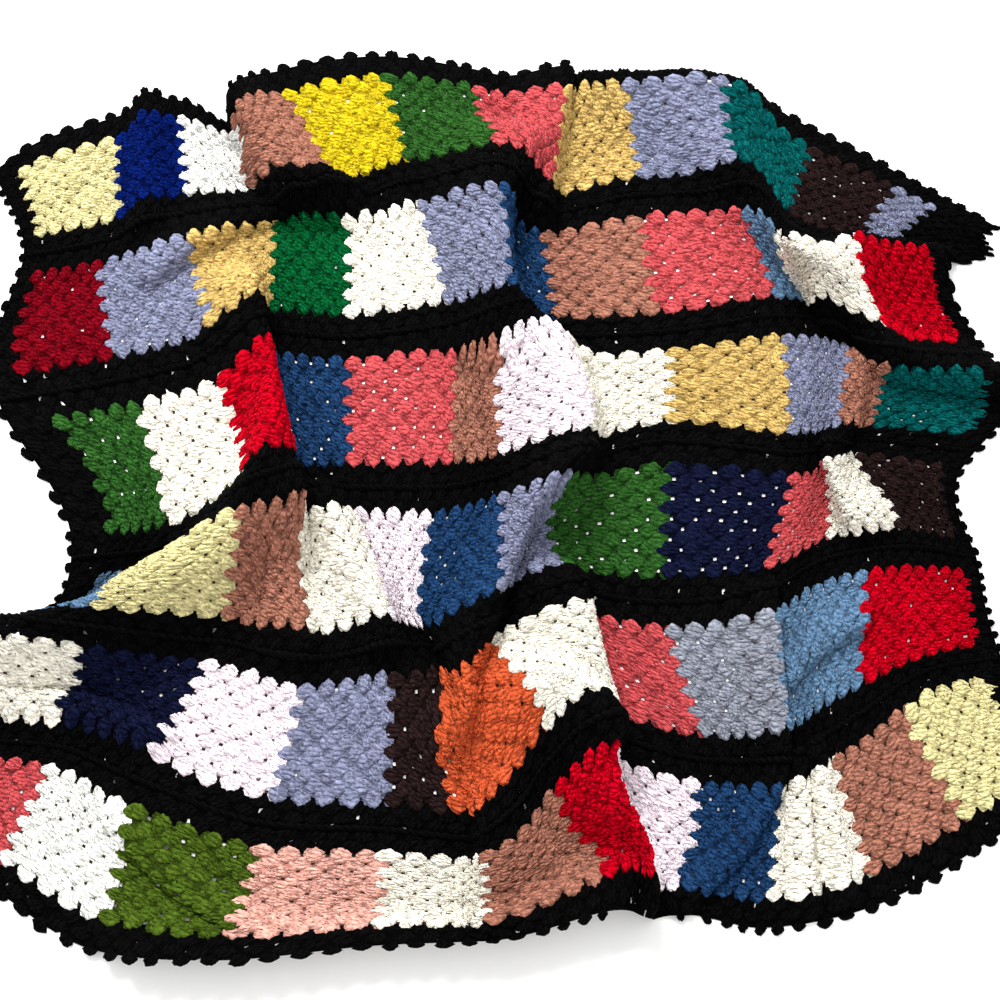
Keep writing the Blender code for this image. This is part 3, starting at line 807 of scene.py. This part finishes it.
def ground_sheet():
    """The thin cloth behind the clusters, with real holes beside their posts and in the bands.

    A hole is one cell of its grid that is left out or, where the yarn is a pale one, kept and coloured with
    painted shade. A seeded draw picks the cells, as many as each block's share says.
    """
    u_lines, v_lines = ground_lines()
    half = CLUSTER / 2
    u_grid, v_grid = np.meshgrid(u_lines, v_lines)
    places = drape(u_grid.ravel(), v_grid.ravel(), np.full(u_grid.size, GROUND_LIFT))
    faces = grid_faces(*u_grid.shape)
    middle_u = ((u_lines[1:] + u_lines[:-1]) / 2)[None].repeat(len(v_lines) - 1, 0).ravel()
    middle_v = ((v_lines[1:] + v_lines[:-1]) / 2)[:, None].repeat(len(u_lines) - 1, 1).ravel()
    wide_u = (u_lines[1:] - u_lines[:-1])[None].repeat(len(v_lines) - 1, 0).ravel()
    row = np.clip((middle_u / ROW).astype(int), 0, ROWS - 1)
    dyed_row = np.clip(((middle_u - GROUND_SHIFT) / ROW).astype(int), 0, ROWS - 1)
    strip = np.clip((middle_v / PITCH).astype(int), 0, STRIPS - 1)
    inside_v = middle_v - strip * PITCH
    in_strip = (middle_u > 0) & (middle_u < LENGTH) & (inside_v > 0) & (inside_v < STRIP)
    past_side = np.minimum(inside_v, STRIP - inside_v)
    in_notch = past_side < half * np.where(row % 2 == 1, NOTCH_OF_FIVE, NOTCH_OF_SIX)
    yarns = np.zeros(len(faces), int)
    share = np.where((inside_v > STRIP) & (middle_u > 0) & (middle_u < LENGTH), BAND_GAPS, 0)
    for k in range(STRIPS):
        mine = in_strip & (strip == k) & ~in_notch
        yarns[mine] = yarn_of_rows(k)[dyed_row[mine]]
        share[mine] = np.array(STRIP_GAPS[k])[block_of_rows(k)[row[mine]]]
    halves = inside_v / half
    nearest = np.round(halves)
    at_gap = (abs(halves - nearest) * half < HOLE_ACROSS / 2 + HOLE_SLACK) & ((nearest + row) % 2 == 0)
    open_here = at_gap & (nearest > 0) & (nearest < 2 * CLUSTERS_PER_ROW) | (inside_v > STRIP)
    open_here &= wide_u < HOLE_ALONG + HOLE_SLACK
    chosen = open_here & (np.random.default_rng(SEED).random(len(faces)) < share / 10)
    # Painted shade: chosen gap cells in a pale yarn stay and take the dark shade colour.
    painted_gap_shade = np.isin(yarns, [YARN_NAMES.index(name) for name in PAINTED_SHADE_GAPS])
    yarns[chosen & painted_gap_shade] = YARN_NAMES.index("painted_gap_shade")
    keep = ~chosen | painted_gap_shade
    uv = np.stack([v_grid.ravel(), u_grid.ravel()], axis=1)
    # Painted shade: the whole ground takes the darkest depth shade.
    painted_depth_shade = np.full(u_grid.size, GROUND_DEPTH_SHADE)
    return places, faces[keep], uv, painted_depth_shade, yarns[keep]


# ---------------------------------------------------------------- the pieces
def finish_piece(piece, slot, *nodes):
    """Say what a piece rides on and which solids it stands for. The slot is not used."""
    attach(piece, "root")
    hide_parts(*nodes)
    return piece


def build_blanket():
    """Make the stitches of every strip, band and side of the border, and the ground that carries them."""
    for k in range(STRIPS):
        piece = make_piece(f"strip_{k + 1}_stitches", *strip_fans(k))
        finish_piece(piece, "coloured_yarn", f"strip_{k + 1}")
    for k in range(1, STRIPS):
        numbers = np.random.default_rng(SEED + 20 + k)
        far = edging_fans((k - 1) * PITCH + STRIP, 1, 2, numbers)
        near = edging_fans(k * PITCH, -1, 2, numbers)
        cord = seam_cord(k * PITCH - BAND / 2)
        piece = make_piece(f"band_{k}_stitches", *join([far, near, cord]))
        finish_piece(piece, "black_yarn", f"band_{k}")
    numbers = np.random.default_rng(SEED + 40)
    borders = (
        ("far", edging_fans(0, -1, 3, numbers)),
        ("near", edging_fans(WIDTH, 1, 3, numbers)),
        ("left", end_fans(0, -1, 3, numbers)),
        ("right", end_fans(LENGTH, 1, 3, numbers)),
    )
    for side, parts in borders:
        piece = make_piece(f"border_{side}_stitches", *parts)
        finish_piece(piece, "black_yarn", f"border_{side}")
    ground = make_piece("blanket_ground", *ground_sheet())
    nodes = [f"strip_{k + 1}" for k in range(STRIPS)] + [f"band_{k}" for k in range(1, STRIPS)]
    nodes += [f"border_{side}" for side in ("far", "near", "left", "right")]
    finish_piece(ground, "coloured_yarn", *nodes)


# ---------------------------------------------------------------- floor, light and camera
def build_floor():
    """A wide white board under the blanket."""
    mesh = bpy.data.meshes.new("floor")
    size = 6.0
    corners = [(-size, -size, 0), (size, -size, 0), (size, size, 0), (-size, size, 0)]
    mesh.from_pydata(corners, [], [(0, 1, 2, 3)])
    mesh.materials.append(make_floor_paint())
    floor = bpy.data.objects.new("floor", mesh)
    bpy.context.scene.collection.objects.link(floor)


def add_lamp(name, place, aim, size, power, colour):
    """A square soft lamp at a place, aimed at another."""
    lamp = bpy.data.lights.new(name, "AREA")
    lamp.size = size
    lamp.energy = power
    lamp.color = colour
    thing = bpy.data.objects.new(name, lamp)
    thing.location = place
    step = np.array(aim, float) - np.array(place, float)
    flat = math.hypot(step[0], step[1])
    thing.rotation_euler = (math.atan2(flat, -step[2]), 0, math.atan2(step[1], step[0]) - math.pi / 2)
    bpy.context.scene.collection.objects.link(thing)


def build_light():
    """An even white surrounding, and a large soft lamp high on the far side."""
    world = bpy.data.worlds.new("studio")
    bpy.context.scene.world = world
    world.use_nodes = True
    sky = world.node_tree.nodes["Background"]
    sky.inputs["Color"].default_value = (1.0, 0.995, 0.985, 1)
    sky.inputs["Strength"].default_value = 1.18
    add_lamp("window", (-0.5, 1.6, 1.9), (0, 0, 0), 0.9, 78, (1.0, 0.99, 0.97))


def build_camera():
    """The camera, a little on the near side of straight above."""
    camera = bpy.data.cameras.new("camera")
    camera.sensor_width = 36
    camera.lens = 43.2
    camera.clip_start = 0.05
    thing = bpy.data.objects.new("camera", camera)
    thing.location = (0.0075, -0.3757, 0.9021)
    thing.rotation_euler = (math.radians(20), 0, 0)
    bpy.context.scene.collection.objects.link(thing)
    bpy.context.scene.camera = thing


bpy.context.scene.view_settings.view_transform = "Standard"
build_floor()
build_blanket()
build_light()
build_camera()
